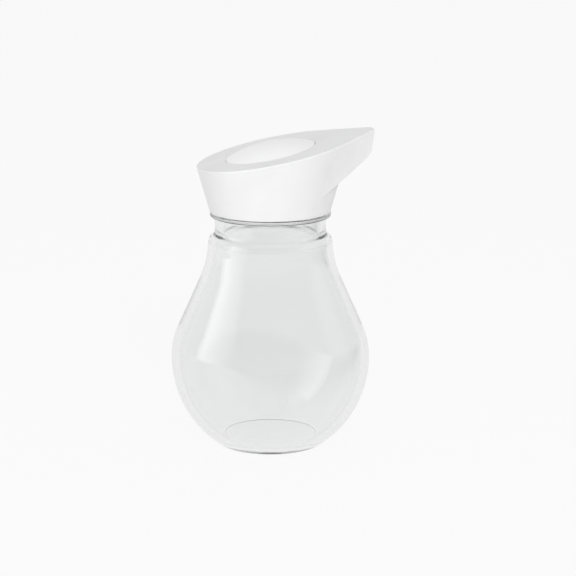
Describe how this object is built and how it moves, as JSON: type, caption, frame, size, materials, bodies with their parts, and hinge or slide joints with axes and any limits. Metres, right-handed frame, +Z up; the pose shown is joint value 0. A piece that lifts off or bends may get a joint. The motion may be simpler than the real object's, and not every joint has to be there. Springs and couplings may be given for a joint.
{
  "type": "oil dispenser bottle",
  "caption": "Small clear glass oil bottle with a round belly and a white screw cap whose slanted top carries a push button and runs out into a pouring beak.",
  "frame": {"origin": "centre of the foot ring, on the plane the bottle stands on", "axes": "+Z up along the axis of the glass, +X towards the beak, +Y to its left"},
  "size_m": [0.0576, 0.0566, 0.09],
  "materials": {
    "clear_glass": "clear polished glass",
    "white_shell": "white satin gloss",
    "top_plate": "white fine matt",
    "button": "white satin",
    "inner_plastic": "natural white",
    "silicone": "translucent silicone",
    "spring_steel": "drawn wire"
  },
  "bodies": {
    "bottle": {"glass_bottle": "clear_glass"},
    "gasket": {"neck_gasket": "silicone"},
    "cap": {"cap_body": "white_shell", "top_plate": "top_plate", "threaded_collar": "inner_plastic", "chamber_seal": "silicone", "spout_insert": "inner_plastic", "boot_clamp_ring": "inner_plastic", "button_boot": "silicone", "return_spring": "spring_steel", "air_valve": "silicone"},
    "button": {"push_button": "button", "valve_stem": "inner_plastic", "valve_disc": "silicone"}
  },
  "joints": [
    {"name": "cap_lift", "type": "slide", "parent": "bottle", "child": "gasket", "axis": [0, 0, 1], "range_m": [0, 0.00145]},
    {"name": "cap_turn", "type": "hinge", "parent": "gasket", "child": "cap", "pos_m": [0, 0, 0.073], "axis": [0, 0, 1], "range_deg": [0, 200]},
    {"name": "button_press", "type": "slide", "parent": "cap", "child": "button", "axis": [0.1977, 0, -0.9803], "range_m": [0, 0.0025], "stiffness_N_per_m": 500, "springref_m": -0.002, "deforming": ["return_spring", "button_boot"]}
  ],
  "couplings": [
    {"joint": "cap_lift", "follows": "cap_turn", "m_per_rad": 0.0004138}
  ]
}
